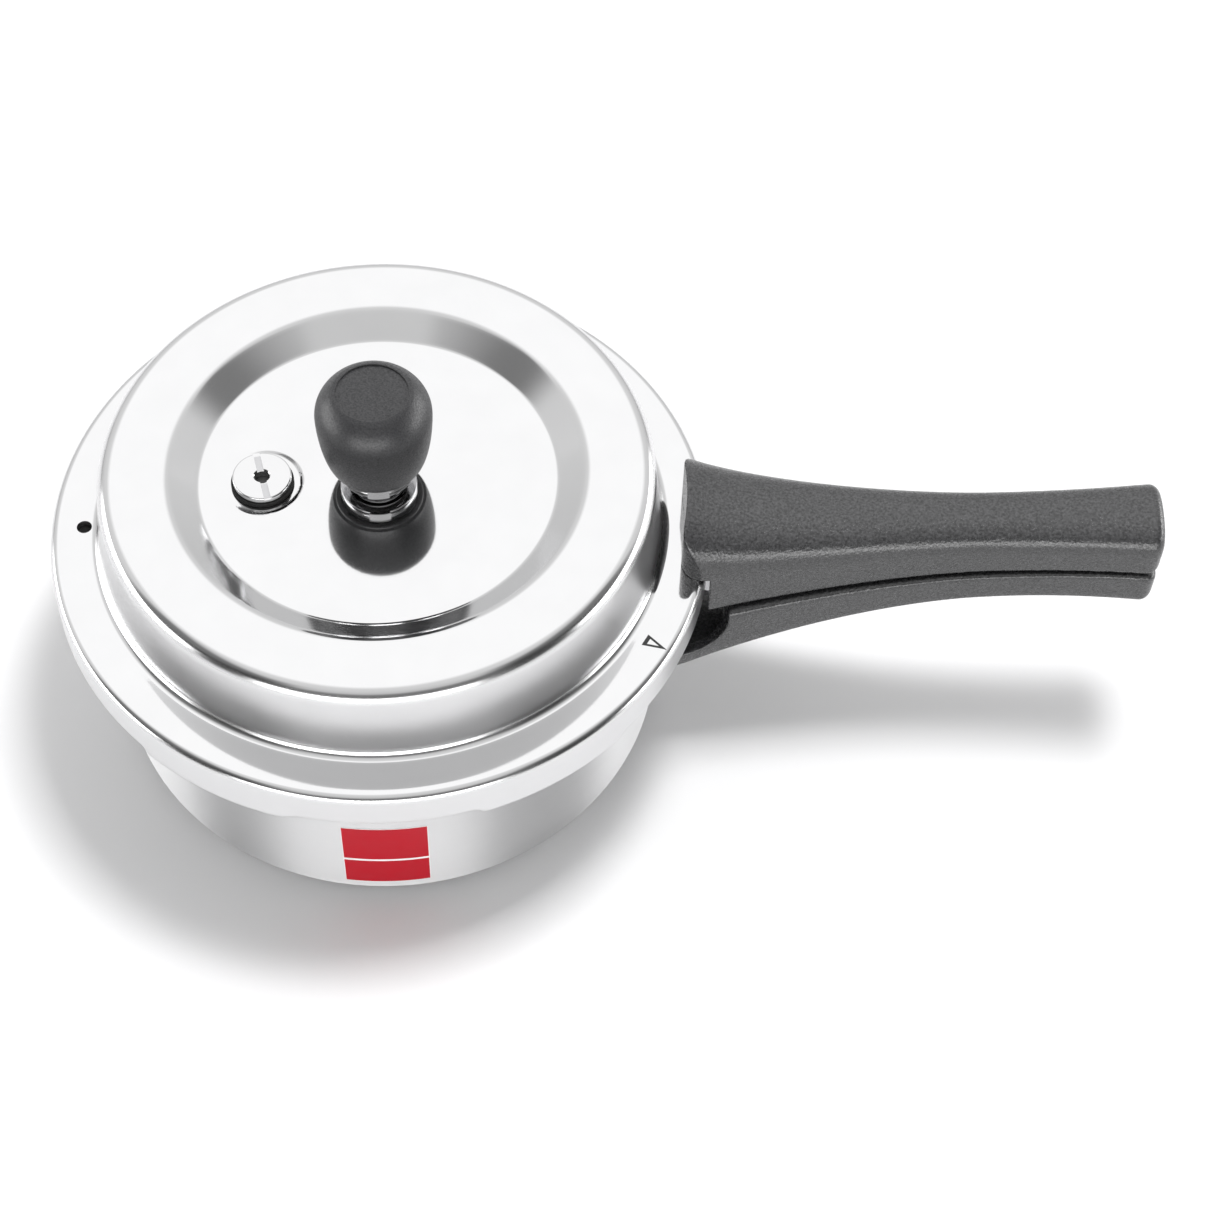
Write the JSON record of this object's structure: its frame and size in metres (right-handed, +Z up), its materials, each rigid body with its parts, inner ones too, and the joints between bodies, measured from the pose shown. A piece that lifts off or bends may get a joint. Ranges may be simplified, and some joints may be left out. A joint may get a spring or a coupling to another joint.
{
  "type": "stovetop pressure cooker",
  "caption": "Polished aluminium pressure cooker with a twist-locking domed lid, a long handle on pan and lid, a knobbed weight valve and a safety plug.",
  "frame": {"origin": "centre of the pan's flat base, where it stands on the stove", "axes": "+Z up along the lid's axis, +X along the two handles, away from the pan"},
  "size_m": [0.3518, 0.21, 0.1474],
  "materials": {
    "polished_aluminium": "mirror polished",
    "polished_steel": "polished",
    "zinc_steel": "plain",
    "grained_bakelite": "fine sparkle grain",
    "black_bakelite": "satin",
    "black_rubber": "matte",
    "red_label": "printed film",
    "fusible_metal": "cast"
  },
  "bodies": {
    "pan": {"pan_body": "polished_aluminium", "pan_bracket": "zinc_steel", "pan_bracket_rivets": "zinc_steel", "pan_handle": "grained_bakelite", "pan_handle_screw": "zinc_steel", "front_label": "red_label"},
    "gasket": {"gasket": "black_rubber"},
    "lid": {"lid_shell": "polished_aluminium", "lid_bracket": "zinc_steel", "lid_bracket_rivets": "zinc_steel", "lid_handle": "grained_bakelite", "lid_handle_screw": "zinc_steel", "vent_pipe": "polished_steel", "vent_washer": "black_rubber", "vent_nut": "zinc_steel", "safety_plug": "polished_steel", "plug_seal": "black_rubber", "fusible_alloy": "fusible_metal", "plug_nut": "zinc_steel"},
    "weight_clip": {"weight_clip": "polished_steel"},
    "weight": {"weight_needle": "polished_steel", "weight_core": "polished_steel", "weight_collar": "polished_steel", "weight_knob": "black_bakelite"}
  },
  "joints": [
    {"name": "lid_lift", "type": "slide", "parent": "pan", "child": "gasket", "axis": [0, 0, 1], "range_m": [0, 0.12]},
    {"name": "lid_turn", "type": "hinge", "parent": "gasket", "child": "lid", "pos_m": [0, 0, 0.085], "axis": [0, 0, 1], "range_deg": [0, 30]},
    {"name": "weight_lift", "type": "slide", "parent": "lid", "child": "weight_clip", "axis": [0, 0, 1], "range_m": [0, 0.045]},
    {"name": "weight_spin", "type": "hinge", "parent": "weight_clip", "child": "weight", "pos_m": [0, 0, 0.12], "axis": [0, 0, 1], "continuous": true}
  ]
}
